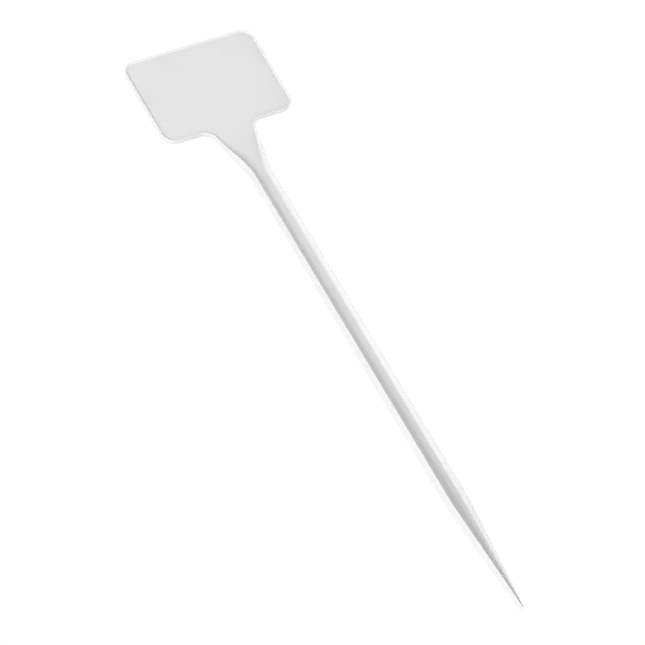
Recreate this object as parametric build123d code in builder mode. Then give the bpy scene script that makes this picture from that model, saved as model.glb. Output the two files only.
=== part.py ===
"""Plant label stake: a dished writing plate on a long channelled stem that ends in a soil spike.

The label lies on its flat back. X runs across the plate, Y runs from the tip of the spike
towards the top of the plate, and Z points out of the writing face. The origin is in the middle
of the back, half way along the overall length. Millimetres.
"""

import math
import os

from build123d import *

# Writing plate, with a rim that stands up round the sunken panel
plate_width = 60.0
plate_height = 42.5
plate_corner_radius = 5.5
rim_height = 2.45
rim_land = 0.3
panel_depth = 0.7

# Neck between the plate and the stem, whose straight sides bend into the stem
neck_length = 27.5
neck_root_width = 20.0
neck_root_length = 5.0
neck_fillet_radius = 5.2
neck_bend_length = 4.0

# Stem with a flat back, upright sides and a flat-floored channel along its front
stem_length = 175.0
stem_top_width = 8.0
stem_top_height = 4.5
stem_top_land = 0.4
stem_top_depth = 2.4
stem_top_cove = 1.2
stem_foot_width = 8.4
stem_foot_height = 5.2
stem_foot_land = 0.5
stem_foot_depth = 3.4
stem_foot_cove = 0.7

# Spike, which narrows to a blunt tip while its back slopes up towards its level front
spike_length = 55.0
tip_width = 0.6
tip_thickness = 3.5
tip_land = 0.15
tip_depth = 1.2
tip_cove = 0.1

# Shallow witness marks that the ejector pins leave on the flat back
ejector_mark_depth = 0.2
plate_mark_diameter = 5.0
plate_mark_inset = 9.0
stem_mark_diameter = 4.0
stem_mark_count = 4

# Shares: lean of a channel's flank in its cove, and the part of the neck in which the rim rises
flank_draft = 0.1
neck_rise_share = 0.7

# Places along the length
overall_length = plate_height + neck_length + stem_length + spike_length
plate_top_y = overall_length / 2
plate_bottom_y = plate_top_y - plate_height
plate_middle_y = (plate_top_y + plate_bottom_y) / 2
root_end_y = plate_bottom_y - neck_root_length
neck_end_y = plate_bottom_y - neck_length
stem_end_y = neck_end_y - stem_length
tip_y = stem_end_y - spike_length

# Sizes that follow from the ones above
panel_thickness = rim_height - panel_depth
cove_radius = 0.94 * panel_depth
neck_slope = (neck_root_width - stem_top_width) / 2 / (neck_length - neck_bend_length / 2)
side_stretch = math.sqrt(1 + neck_slope**2)
recess_overrun = 2 * rim_land
tip_back = stem_foot_height - tip_thickness


def cross_plane(y):
    """Plane square to the length, with its own axes along world X and Z."""
    return Plane(origin=(0, y, 0), x_dir=(1, 0, 0), z_dir=(0, -1, 0))


def ease(share):
    """Share from 0 to 1 that starts and ends level."""
    share = min(share, 1)
    return share**2 * (3 - 2 * share)


def neck_half_width(y):
    """Half the width of the neck: straight sides that bend evenly into the stem."""
    above = y - neck_end_y
    if above < neck_bend_length:
        return stem_top_width / 2 + neck_slope * above**2 / (2 * neck_bend_length)
    return stem_top_width / 2 + neck_slope * (above - neck_bend_length / 2)


def channel_section(y, width, height, land, depth, cove, back=0):
    """Flat back, upright sides, two narrow lands and a channel with steep coved flanks between them."""
    half = width / 2
    lip = half - land
    corner = lip - flank_draft * cove
    foot = lip - cove
    floor = height - depth
    with BuildSketch(cross_plane(y)) as section:
        with BuildLine():
            Polyline((-lip, height), (-half, height), (-half, back), (half, back), (half, height), (lip, height))
            Bezier((lip, height), (corner, floor), (foot, floor))
            Line((foot, floor), (-foot, floor))
            Bezier((-foot, floor), (-corner, floor), (-lip, height))
        make_face()
    return section.sketch


def neck_section(share):
    """Section of the neck at a share of the way from the dished root to the stem."""
    y = root_end_y + share * (neck_end_y - root_end_y)
    height = rim_height + ease(share / neck_rise_share) * (stem_top_height - rim_height)
    stem_floor = stem_top_height - stem_top_depth
    floor = panel_thickness + ease(share) * (stem_floor - panel_thickness)
    root_land = rim_land * side_stretch
    land = root_land + share * (stem_top_land - root_land)
    root_cove = cove_radius * side_stretch
    cove = root_cove + ease(share) * (stem_top_cove - root_cove)
    return channel_section(y, 2 * neck_half_width(y), height, land, height - floor, cove)


def flared_outline(end_y):
    """Outline of the plate and of the neck's root down to a place, with filleted inner corners."""
    end_half = neck_half_width(end_y)
    with BuildSketch() as outline:
        with Locations((0, plate_middle_y)):
            RectangleRounded(plate_width, plate_height, plate_corner_radius)
        with BuildLine():
            Polyline(
                (-neck_root_width / 2, plate_middle_y),
                (neck_root_width / 2, plate_middle_y),
                (neck_root_width / 2, plate_bottom_y),
                (end_half, end_y),
                (-end_half, end_y),
                (-neck_root_width / 2, plate_bottom_y),
                close=True,
            )
        make_face()
        bottom_corners = outline.vertices().filter_by_position(Axis.Y, plate_bottom_y, plate_bottom_y)
        inner_corners = bottom_corners.sort_by(lambda corner: abs(corner.X))[:2]
        fillet(inner_corners, radius=neck_fillet_radius)
    return outline.sketch


# Writing plate and the root of the neck, with the panel sunk inside the rim and open towards the neck
with BuildPart() as label_plate:
    add(flared_outline(root_end_y))
    extrude(amount=rim_height)
    with BuildSketch(Plane.XY.offset(panel_thickness)):
        add(flared_outline(root_end_y - recess_overrun))
        offset(amount=-rim_land, mode=Mode.REPLACE)
    extrude(amount=panel_depth, mode=Mode.SUBTRACT)
    panel_edges = label_plate.edges().filter_by_position(Axis.Z, panel_thickness, panel_thickness)
    fillet(panel_edges.sort_by(Axis.Y)[1:], radius=cove_radius)
    with BuildSketch():
        with Locations((0, plate_middle_y)):
            with GridLocations(plate_width - 2 * plate_mark_inset, plate_height - 2 * plate_mark_inset, 2, 2):
                Circle(plate_mark_diameter / 2)
    extrude(amount=ejector_mark_depth, mode=Mode.SUBTRACT)

# Tapering neck, in which the shallow dish of the plate deepens into the channel of the stem
with BuildPart() as neck:
    loft(sections=[neck_section(share / 10) for share in range(11)])

# Sections where the stem begins and ends, and where the spike ends
stem_top = neck_section(1)
stem_foot = channel_section(
    stem_end_y, stem_foot_width, stem_foot_height, stem_foot_land, stem_foot_depth, stem_foot_cove
)
spike_tip = channel_section(tip_y, tip_width, stem_foot_height, tip_land, tip_depth, tip_cove, tip_back)

# Long straight stem
with BuildPart() as stem:
    loft(sections=[stem_top, stem_foot], ruled=True)
    with BuildSketch():
        with Locations((0, (neck_end_y + stem_end_y) / 2)):
            with GridLocations(1, stem_length / stem_mark_count, 1, stem_mark_count):
                Circle(stem_mark_diameter / 2)
    extrude(amount=ejector_mark_depth, mode=Mode.SUBTRACT)

# Soil spike
with BuildPart() as spike:
    loft(sections=[stem_foot, spike_tip], ruled=True)

os.makedirs("parts", exist_ok=True)
for name, piece in {"label_plate": label_plate, "neck": neck, "stem": stem, "spike": spike}.items():
    piece.part.label = name
    export_step(piece.part, f"parts/{name}.step")
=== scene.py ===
"""Looks of the plant label stake: the four regions of one white moulding, lying on a white table.

Metres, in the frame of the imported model: X across the plate, Y towards the top of the plate
and Z out of the writing face. The flat back lies on Z = 0.
"""

import math

import bmesh
import bpy
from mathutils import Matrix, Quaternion, Vector
from mathutils.geometry import delaunay_2d_cdt


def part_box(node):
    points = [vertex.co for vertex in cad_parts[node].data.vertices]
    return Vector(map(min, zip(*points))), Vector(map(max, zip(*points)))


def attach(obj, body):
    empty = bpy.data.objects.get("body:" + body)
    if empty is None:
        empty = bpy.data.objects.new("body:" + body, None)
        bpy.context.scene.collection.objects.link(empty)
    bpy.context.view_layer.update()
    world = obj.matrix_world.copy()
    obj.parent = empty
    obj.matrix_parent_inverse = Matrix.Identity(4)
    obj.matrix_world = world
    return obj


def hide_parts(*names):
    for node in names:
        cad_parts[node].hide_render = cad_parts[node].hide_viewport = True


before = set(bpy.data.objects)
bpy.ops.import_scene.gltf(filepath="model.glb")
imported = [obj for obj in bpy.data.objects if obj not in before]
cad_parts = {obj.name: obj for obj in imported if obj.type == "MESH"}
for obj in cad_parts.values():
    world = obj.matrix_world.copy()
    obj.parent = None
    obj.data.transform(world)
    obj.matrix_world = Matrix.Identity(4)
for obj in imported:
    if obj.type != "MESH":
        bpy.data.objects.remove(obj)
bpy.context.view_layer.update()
mm = 0.001

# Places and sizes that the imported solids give
plate_low, plate_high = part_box("label_plate")
neck_low, neck_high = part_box("neck")
stem_low, stem_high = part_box("stem")
spike_low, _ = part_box("spike")
plate_half = plate_high.x
plate_top = plate_high.y
root_end = plate_low.y
neck_end = neck_low.y
stem_end = stem_low.y
tip = spike_low.y
rim_top = plate_high.z
foot_height = stem_high.z
root_end_half = neck_high.x
foot_half = stem_high.x

# Outline of the plate and the neck
root_length = 5.0 * mm
corner_radius = 5.5 * mm
fillet_radius = 5.2 * mm
stem_top_half = 4.0 * mm
bend_length = 4.0 * mm
plate_bottom = root_end + root_length
plate_middle = (plate_top + plate_bottom) / 2
neck_slope = (root_end_half - stem_top_half) / (root_end - neck_end - bend_length / 2)
neck_root_half = root_end_half + neck_slope * root_length
neck_normal = Vector((1.0, -neck_slope)).normalized()
fillet_x = neck_root_half + fillet_radius * (1 + neck_normal.y) / neck_normal.x
fillet_centre = Vector((fillet_x, plate_bottom - fillet_radius))
fillet_start = fillet_centre.y - fillet_radius * neck_normal.y

# Rim of the plate, with the panel sunk inside it
rim_land = 0.3 * mm
rim_cove = 0.85 * mm
rim_edge_radius = 0.2 * mm
panel_depth = 0.7 * mm
panel_level = rim_top - panel_depth

# Lands and channel at the top of the stem, and the part of the neck in which the rim rises
stem_top_height = 4.5 * mm
stem_land = 0.34 * mm
stem_cove = 2.0 * mm
stem_edge_radius = 0.26 * mm
stem_top_depth = 2.0 * mm
stem_top_floor = stem_top_height - stem_top_depth
neck_rise_share = 0.7

# Lands and channel at the foot of the stem, where the spike starts
foot_land = 0.58 * mm
foot_cove = 0.5 * mm
foot_edge_radius = 0.44 * mm
foot_depth = 3.3 * mm
foot_floor = foot_height - foot_depth

# Blunt tip, towards which the back of the spike slopes up
tip_half = 0.3 * mm
tip_back = 1.7 * mm
tip_land = 0.18 * mm
tip_cove = 0.1 * mm
tip_edge_radius = 0.12 * mm
tip_depth = 0.5 * mm
tip_floor = foot_height - tip_depth
nose_length = 0.6 * mm
nose_drop = 0.4 * mm

# Lean of a channel's flank in its cove, and the edges that are alike all along
flank_draft = 0.1
lip_radius = 0.12 * mm
back_edge_radius = 0.2 * mm

# Marks that the ejector pins leave on the back
mark_depth = 0.2 * mm
plate_mark_radius = 2.5 * mm
plate_mark_inset = 9.0 * mm
stem_mark_radius = 2.0 * mm
stem_mark_count = 4

# Spacing of the mesh, and how it is closed and shaded
coarse_step = 1.5 * mm
fine_step = 0.6 * mm
panel_step = 3.0 * mm
arc_step = math.radians(5)
edge_rings = 4
lip_rings = 3
cove_rings = 14
middle_columns = 9
back_edge_rows = 3
nose_rows = 8
nose_last_turn = math.radians(80)
mark_sides = 40
fill_tolerance = 1e-9
weld_distance = 1e-7
sharp_angle = math.radians(40)

# White plastic: cloudy tone, flow lines that vary the gloss, and fine mould grain
plastic_ior = 1.49
cloud_scale = 55
cloud_detail = 3
cloud_range = (0.3, 0.7)
dark_tone = (0.765, 0.765, 0.763, 1)
light_tone = (0.795, 0.795, 0.793, 1)
flow_stretch = (700, 25, 700)
flow_scale = 1
flow_detail = 2
least_roughness = 0.34
most_roughness = 0.44
grain_scale = 2200
grain_detail = 2
grain_strength = 0.12
grain_depth = 0.05 * mm

# Camera, in degrees, metres and pixels of the square photograph
camera_azimuth = -41.792
camera_elevation = 51.770
camera_roll = 17.896
camera_aim = Vector((-9.473 * mm, 6.667 * mm, 0))
camera_distance = 6.0
camera_clip = 4 * camera_distance
pixels_per_mm = 2.4691
image_side = 645

# White light from the room and from a softbox on the left
pure_white = (1, 1, 1, 1)
room_light = 1.85
room_slope = Vector((0.48, -0.16, -1.75))
key_direction = Vector((-0.835, -0.147, 0.530))
key_distance = 3.0
key_size = 1.1
key_watts = 54.0

# Table that shows white with a faint shadow, and the share of light that it bounces
table_glow = 0.95
table_shade = 0.08
table_bounce = 0.6
table_reach = 6.0
table_gap = 0.02 * mm


def smooth(share):
    """Eases a share from 0 to 1, flat at both ends."""
    share = min(max(share, 0.0), 1.0)
    return share * share * (3 - 2 * share)


def mix(first, last, share):
    """Value at a share of the way from first to last."""
    return first + (last - first) * share


def steps(first, last, spacing):
    """Evenly spaced values from first to last, both included."""
    count = max(1, round(abs(last - first) / spacing))
    return [mix(first, last, i / count) for i in range(count + 1)]


def half_width(y):
    """Half the width of the moulding below the plate, at a place along its length."""
    if y >= fillet_start:
        rise = y - fillet_centre.y
        return fillet_centre.x - math.sqrt(max(0.0, fillet_radius**2 - rise**2))
    above = y - neck_end
    if above >= bend_length:
        return stem_top_half + neck_slope * (above - bend_length / 2)
    if above >= 0:
        return stem_top_half + neck_slope * above**2 / (2 * bend_length)
    if y >= stem_end:
        return mix(foot_half, stem_top_half, (y - stem_end) / (neck_end - stem_end))
    return mix(tip_half, foot_half, (y - tip) / (stem_end - tip))


def side_stretch(y):
    """How much longer a cut across the length is than one square to the sloping side."""
    slope = neck_slope * min(max((y - neck_end) / bend_length, 0.0), 1.0)
    return math.sqrt(1 + slope**2)


def nose_share(y):
    """1 along the whole label, falling to 0 round the blunt nose of the spike."""
    into_nose = max(0.0, nose_length - (y - tip)) / nose_length
    return math.sqrt(max(0.0, 1 - into_nose**2))


def back_level(y):
    """Height of the back: flat on the table, then sloping up along the spike."""
    return tip_back * max(0.0, (stem_end - y) / (stem_end - tip))


def rim_shape(y):
    """Height of the rim, radius of its outer edge, width of its land, width of the cove, and the floor."""
    if y >= root_end:
        return rim_top, rim_edge_radius, rim_land, rim_cove, panel_level
    if y >= neck_end:
        share = (root_end - y) / (root_end - neck_end)
        top = mix(rim_top, stem_top_height, smooth(share / neck_rise_share))
        edge = mix(rim_edge_radius, stem_edge_radius, share)
        cove = mix(rim_cove, stem_cove, smooth(share))
        floor = mix(panel_level, stem_top_floor, smooth(share))
        return top, edge, mix(rim_land, stem_land, share), cove, floor
    if y >= stem_end:
        share = (neck_end - y) / (neck_end - stem_end)
        top = mix(stem_top_height, foot_height, share)
        edge = mix(stem_edge_radius, foot_edge_radius, share)
        land = mix(stem_land, foot_land, share)
        cove = mix(stem_cove, foot_cove, share)
        depth = mix(stem_top_depth, foot_depth, share**2)
        return top, edge, land, cove, top - depth
    share = (stem_end - y) / (stem_end - tip)
    top = foot_height - nose_drop * (1 - nose_share(y))
    edge = mix(foot_edge_radius, tip_edge_radius, share)
    land = mix(foot_land, tip_land, share)
    cove = mix(foot_cove, tip_cove, share)
    return top, edge, land, cove, min(top, mix(foot_floor, tip_floor, share))


def quarter_turns(count):
    """Angles from 0 to a right angle in equal steps, both included."""
    return [math.pi / 2 * i / count for i in range(count + 1)]


def rim_profile(y):
    """Inset and height of the front, from the upright side over the land to the channel's floor."""
    top, edge, land, cove, floor = rim_shape(y)
    depth = top - floor
    points = []
    for turn in quarter_turns(edge_rings):
        points.append((edge * (1 - math.cos(turn)), top - edge * (1 - math.sin(turn))))
    lip = min(lip_radius, land - edge, depth / 2)
    lip_turn = math.atan2(depth, flank_draft * cove)
    lip_start = land - lip * math.tan(lip_turn / 2)
    for i in range(lip_rings + 1):
        turn = lip_turn * i / lip_rings
        points.append((lip_start + lip * math.sin(turn), top - lip * (1 - math.cos(turn))))
    # The rounded lip takes the place of the cove's first step
    for i in range(2, cove_rings + 1):
        share = i / cove_rings
        across = 2 * share * (1 - share) * flank_draft * cove + share**2 * cove
        points.append((land + across, top - depth * (1 - (1 - share) ** 2)))
    return points


def back_edge():
    """Inset and height of the rounded back edge, up to where the upright side starts."""
    return [
        (back_edge_radius * (1 - math.sin(turn)), back_edge_radius * (1 - math.cos(turn)))
        for turn in quarter_turns(back_edge_rows)
    ]


def circle(centre, radius):
    """Points round a flat circle, the first one not repeated."""
    turns = [2 * math.pi * i / mark_sides for i in range(mark_sides)]
    return [centre + radius * Vector((math.cos(turn), math.sin(turn))) for turn in turns]


def flatten(points):
    """The points without their heights."""
    return [point.to_2d() for point in points]


class Shell:
    """Faces of one piece, kept as lists of points until they are welded into a mesh."""

    def __init__(self):
        self.faces = []

    def grid(self, rows):
        """Quads between neighbouring rows of points."""
        for row, following in zip(rows, rows[1:]):
            for i in range(len(row) - 1):
                self.faces.append([row[i], row[i + 1], following[i + 1], following[i]])

    def fill(self, loop, height, inner_points=(), holes=()):
        """Fills a flat outline with triangles at a given height, leaving round holes open."""
        points = list(loop)
        edges = [(i, (i + 1) % len(loop)) for i in range(len(loop))]
        for centre, radius in holes:
            first = len(points)
            points += circle(centre, radius)
            edges += [(first + i, first + (i + 1) % mark_sides) for i in range(mark_sides)]
        points += inner_points
        corners, _, triangles, _, _, _ = delaunay_2d_cdt(points, edges, [], 1, fill_tolerance)
        for triangle in triangles:
            flat = [corners[i] for i in triangle]
            middle = (flat[0] + flat[1] + flat[2]) / 3
            if all((middle - centre).length > radius for centre, radius in holes):
                self.faces.append([Vector((p.x, p.y, height)) for p in flat])

    def flat_back(self, loop, marks):
        """Flat back with a shallow round hollow at each ejector mark."""
        self.fill(loop, 0.0, holes=marks)
        for centre, radius in marks:
            rim = [point.to_3d() for point in circle(centre, radius)]
            floor = [point + Vector((0, 0, mark_depth)) for point in rim]
            self.grid([rim + rim[:1], floor + floor[:1]])
            self.faces.append(floor)

    def piece(self, name, material):
        """Welds the faces into a closed, smooth-shaded mesh object."""
        build = bmesh.new()
        for face in self.faces:
            build.faces.new([build.verts.new(point) for point in face])
        bmesh.ops.remove_doubles(build, verts=build.verts, dist=weld_distance)
        bmesh.ops.recalc_face_normals(build, faces=build.faces)
        for face in build.faces:
            face.smooth = True
        mesh = bpy.data.meshes.new(name)
        build.to_mesh(mesh)
        build.free()
        mesh.set_sharp_from_angle(angle=sharp_angle)
        mesh.materials.append(material)
        made = bpy.data.objects.new(name, mesh)
        bpy.context.scene.collection.objects.link(made)
        weighted = made.modifiers.new("weighted_normals", "WEIGHTED_NORMAL")
        weighted.keep_sharp = True
        return made


def arc(centre, radius, first, last):
    """Points on an arc from a first to a last angle, each with its ray from the centre."""
    rays = [Vector((math.cos(turn), math.sin(turn))) for turn in steps(first, last, arc_step)]
    return [(centre + radius * ray, ray) for ray in rays]


def line(first, last, normal, spacing):
    """Points on a straight stretch, without its last one, each with the outward normal."""
    count = max(1, round((last - first).length / spacing))
    return [(first.lerp(last, i / count), normal) for i in range(count)]


def plate_path():
    """Outline of the plate from the right of the root round to the left, with outward normals."""
    corner_x = plate_half - corner_radius
    low_y = plate_bottom + corner_radius
    high_y = plate_top - corner_radius
    up = Vector((0, 1))
    right = Vector((1, 0))
    neck_tangent = fillet_centre - fillet_radius * neck_normal
    neck_turn = math.atan2(-neck_normal.y, -neck_normal.x)
    concave = arc(fillet_centre, fillet_radius, neck_turn, math.pi / 2)
    path = line(Vector((root_end_half, root_end)), neck_tangent, neck_normal, fine_step)
    path += [(point, -ray) for point, ray in concave[:-1]]
    path += line(concave[-1][0], Vector((corner_x, plate_bottom)), -up, coarse_step)
    path += arc(Vector((corner_x, low_y)), corner_radius, -math.pi / 2, 0)[:-1]
    path += line(Vector((plate_half, low_y)), Vector((plate_half, high_y)), right, coarse_step)
    path += arc(Vector((corner_x, high_y)), corner_radius, 0, math.pi / 2)[:-1]
    path += line(Vector((corner_x, plate_top)), Vector((0, plate_top)), up, coarse_step)
    left_half = [(Vector((-p.x, p.y)), Vector((-n.x, n.y))) for p, n in reversed(path)]
    return path + [(Vector((0, plate_top)), up)] + left_half


def inset_path(path, depth):
    """Outline moved inwards; its two ends stay on the cut across the root."""
    moved = [point - depth * normal for point, normal in path]
    for end in (0, -1):
        point, normal = path[end]
        moved[end] = Vector((point.x - depth / normal.x, point.y))
    return moved


def section(y):
    """Points of one cross-section, from the right of the back over the front to its left."""
    half = half_width(y)
    stretch = side_stretch(y)
    narrow = nose_share(y)
    rights = [(narrow * (half - stretch * depth), height) for depth, height in rim_profile(y)]
    inner, floor = rights[-1]
    middle = [(mix(inner, -inner, i / (middle_columns + 1)), floor) for i in range(1, middle_columns + 1)]
    low = back_level(y)
    side = [(narrow * (half - stretch * inset), low + height) for inset, height in back_edge()]
    right_half = side + rights
    left_half = [(-x, z) for x, z in reversed(right_half)]
    return [Vector((x, y, z)) for x, z in right_half + middle + left_half]


def panel_points():
    """Points spread over the flat writing panel."""
    clear = rim_land + rim_cove + panel_step
    reach_x = plate_half - clear
    return [
        Vector((x, y))
        for x in steps(-reach_x, reach_x, panel_step)
        for y in steps(plate_bottom + clear, plate_top - clear, panel_step)
    ]


def plate_marks():
    """Centre and radius of the four ejector marks behind the plate."""
    spread_x = plate_half - plate_mark_inset
    spread_y = plate_top - plate_middle - plate_mark_inset
    centres = [
        Vector((sign_x * spread_x, plate_middle + sign_y * spread_y))
        for sign_x in (-1, 1)
        for sign_y in (-1, 1)
    ]
    return [(centre, plate_mark_radius) for centre in centres]


def stem_marks():
    """Centre and radius of the ejector marks along the back of the stem."""
    pitch = (neck_end - stem_end) / stem_mark_count
    centres = [Vector((0, stem_end + pitch * (i + 0.5))) for i in range(stem_mark_count)]
    return [(centre, stem_mark_radius) for centre in centres]


def plate_shell():
    """Dished writing plate with its upstanding rim, down to the cut across the root."""
    shell = Shell()
    path = plate_path()
    profile = back_edge() + rim_profile(root_end)
    rings = [[Vector((p.x, p.y, z)) for p in inset_path(path, depth)] for depth, z in profile]
    shell.grid(rings)
    cut = section(root_end)
    margin = (len(cut) - middle_columns) // 2
    cut_middle = cut[margin : margin + middle_columns]
    panel_loop = flatten(rings[-1]) + flatten(reversed(cut_middle))
    shell.fill(panel_loop, panel_level, panel_points())
    shell.flat_back(flatten(rings[0]), plate_marks())
    shell.faces.append(cut)
    return shell


def tube_shell(places, marks=()):
    """Closed length of the neck, stem or spike through sections at the given places."""
    shell = Shell()
    rows = [section(y) for y in places]
    shell.grid(rows)
    if marks:
        back_right = [row[0] for row in rows]
        back_left = [row[-1] for row in rows]
        shell.flat_back(flatten(back_right) + flatten(reversed(back_left)), marks)
    else:
        shell.grid([[row[0], row[-1]] for row in rows])
    shell.faces.append(rows[0])
    shell.faces.append(rows[-1])
    return shell


def spike_places():
    """Places along the spike, closer together round its blunt nose."""
    turns = [nose_last_turn * i / nose_rows for i in range(1, nose_rows + 1)]
    nose = [tip + nose_length * (1 - math.sin(turn)) for turn in turns]
    return steps(stem_end, tip + nose_length, coarse_step) + nose


def noise(nodes, links, vector, scale, detail):
    """Noise of a given fineness over the given coordinates."""
    texture = nodes.new("ShaderNodeTexNoise")
    texture.inputs["Scale"].default_value = scale
    texture.inputs["Detail"].default_value = detail
    links.new(vector, texture.inputs["Vector"])
    return texture.outputs["Fac"]


def white_plastic():
    """Satin white polypropylene: cloudy tone, fine mould grain and faint flow lines."""
    material = bpy.data.materials.new("white_polypropylene")
    material.use_nodes = True
    nodes = material.node_tree.nodes
    links = material.node_tree.links
    shader = nodes["Principled BSDF"]
    shader.inputs["IOR"].default_value = plastic_ior
    place = nodes.new("ShaderNodeTexCoord").outputs["Object"]

    clouds = noise(nodes, links, place, cloud_scale, cloud_detail)
    tone = nodes.new("ShaderNodeValToRGB")
    for stop, position, color in zip(tone.color_ramp.elements, cloud_range, (dark_tone, light_tone)):
        stop.position = position
        stop.color = color
    links.new(clouds, tone.inputs["Fac"])
    links.new(tone.outputs["Color"], shader.inputs["Base Color"])

    stretch = nodes.new("ShaderNodeMapping")
    stretch.inputs["Scale"].default_value = flow_stretch
    links.new(place, stretch.inputs["Vector"])
    flow = noise(nodes, links, stretch.outputs["Vector"], flow_scale, flow_detail)
    rough = nodes.new("ShaderNodeMapRange")
    rough.inputs["To Min"].default_value = least_roughness
    rough.inputs["To Max"].default_value = most_roughness
    links.new(flow, rough.inputs["Value"])
    links.new(rough.outputs["Result"], shader.inputs["Roughness"])

    grain = noise(nodes, links, place, grain_scale, grain_detail)
    bump = nodes.new("ShaderNodeBump")
    bump.inputs["Strength"].default_value = grain_strength
    bump.inputs["Distance"].default_value = grain_depth
    links.new(grain, bump.inputs["Height"])
    links.new(bump.outputs["Normal"], shader.inputs["Normal"])
    return material


def larger(nodes, links, first, second):
    """The larger of two values."""
    choice = nodes.new("ShaderNodeMath")
    choice.operation = "MAXIMUM"
    links.new(first, choice.inputs[0])
    links.new(second, choice.inputs[1])
    return choice.outputs["Value"]


def by_ray(nodes, links, lighting, shown):
    """One shader lights the label; the other shows on camera, glossy and transmission rays."""
    path = nodes.new("ShaderNodeLightPath").outputs
    either = larger(nodes, links, path["Is Camera Ray"], path["Is Glossy Ray"])
    direct = larger(nodes, links, either, path["Is Transmission Ray"])
    choice = nodes.new("ShaderNodeMixShader")
    links.new(direct, choice.inputs["Fac"])
    links.new(lighting, choice.inputs[1])
    links.new(shown, choice.inputs[2])
    return choice.outputs["Shader"]


def white_table():
    """Table top that shows white with a faint shadow on it, and bounces plain light."""
    material = bpy.data.materials.new("white_table")
    material.use_nodes = True
    nodes = material.node_tree.nodes
    links = material.node_tree.links
    nodes.remove(nodes["Principled BSDF"])
    glow = nodes.new("ShaderNodeEmission")
    glow.inputs["Color"].default_value = pure_white
    glow.inputs["Strength"].default_value = table_glow
    shadow = nodes.new("ShaderNodeBsdfDiffuse")
    shadow.inputs["Color"].default_value = (table_shade, table_shade, table_shade, 1)
    shown = nodes.new("ShaderNodeAddShader")
    links.new(glow.outputs["Emission"], shown.inputs[0])
    links.new(shadow.outputs["BSDF"], shown.inputs[1])
    bounce = nodes.new("ShaderNodeBsdfDiffuse")
    bounce.inputs["Color"].default_value = (table_bounce, table_bounce, table_bounce, 1)
    surface = by_ray(nodes, links, bounce.outputs["BSDF"], shown.outputs["Shader"])
    links.new(surface, nodes["Material Output"].inputs["Surface"])
    return material


def add_table():
    """Wide flat table, a hair below the back of the label."""
    build = bmesh.new()
    bmesh.ops.create_grid(build, x_segments=1, y_segments=1, size=table_reach)
    mesh = bpy.data.meshes.new("table_top")
    build.to_mesh(mesh)
    build.free()
    mesh.materials.append(white_table())
    table = bpy.data.objects.new("table_top", mesh)
    table.location.z = -table_gap
    bpy.context.scene.collection.objects.link(table)


def add_world():
    """Soft light from all round that grows along one direction, and a white background."""
    world = bpy.data.worlds.new("studio")
    world.use_nodes = True
    bpy.context.scene.world = world
    nodes = world.node_tree.nodes
    links = world.node_tree.links
    room = nodes["Background"]
    room.inputs["Color"].default_value = pure_white
    place = nodes.new("ShaderNodeTexCoord")
    slope = nodes.new("ShaderNodeVectorMath")
    slope.operation = "DOT_PRODUCT"
    slope.inputs[1].default_value = room_slope
    links.new(place.outputs["Generated"], slope.inputs[0])
    level = nodes.new("ShaderNodeMath")
    level.operation = "ADD"
    level.inputs[1].default_value = room_light
    links.new(slope.outputs["Value"], level.inputs[0])
    links.new(level.outputs["Value"], room.inputs["Strength"])
    white = nodes.new("ShaderNodeBackground")
    white.inputs["Color"].default_value = pure_white
    white.inputs["Strength"].default_value = 1
    surface = by_ray(nodes, links, room.outputs["Background"], white.outputs["Background"])
    links.new(surface, nodes["World Output"].inputs["Surface"])


def add_key_light():
    """Large softbox on the left that faces the middle of the label."""
    light = bpy.data.lights.new("key_softbox", "AREA")
    light.shape = "SQUARE"
    light.size = key_size
    light.energy = key_watts
    lamp = bpy.data.objects.new("key_softbox", light)
    toward = key_direction.normalized()
    lamp.location = toward * key_distance
    lamp.rotation_mode = "QUATERNION"
    lamp.rotation_quaternion = (-toward).to_track_quat("-Z", "Y")
    bpy.context.scene.collection.objects.link(lamp)


def add_camera():
    """Long lens at the photograph's angle: azimuth and elevation round the label, then a roll."""
    azimuth = math.radians(camera_azimuth)
    elevation = math.radians(camera_elevation)
    level = Vector((math.sin(azimuth), -math.cos(azimuth), 0))
    back = level * math.cos(elevation) + Vector((0, 0, math.sin(elevation)))
    data = bpy.data.cameras.new("photo_camera")
    half_view = image_side / 2 / pixels_per_mm * mm
    data.lens = data.sensor_width / 2 * camera_distance / half_view
    data.clip_end = camera_clip
    camera = bpy.data.objects.new("photo_camera", data)
    camera.location = camera_aim + back * camera_distance
    camera.rotation_mode = "QUATERNION"
    upright = (-back).to_track_quat("-Z", "Y")
    roll = Quaternion((0, 0, 1), math.radians(camera_roll))
    camera.rotation_quaternion = upright @ roll
    bpy.context.scene.collection.objects.link(camera)
    bpy.context.scene.camera = camera


bpy.context.scene.view_settings.view_transform = "Standard"
plastic = white_plastic()
shells = {
    "label_plate": plate_shell(),
    "neck": tube_shell(steps(root_end, neck_end, fine_step)),
    "stem": tube_shell(steps(neck_end, stem_end, coarse_step), stem_marks()),
    "spike": tube_shell(spike_places()),
}
for node, shell in shells.items():
    moulding = shell.piece(node + "_moulding", plastic)
    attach(moulding, "root")
    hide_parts(node)
add_table()
add_world()
add_key_light()
add_camera()
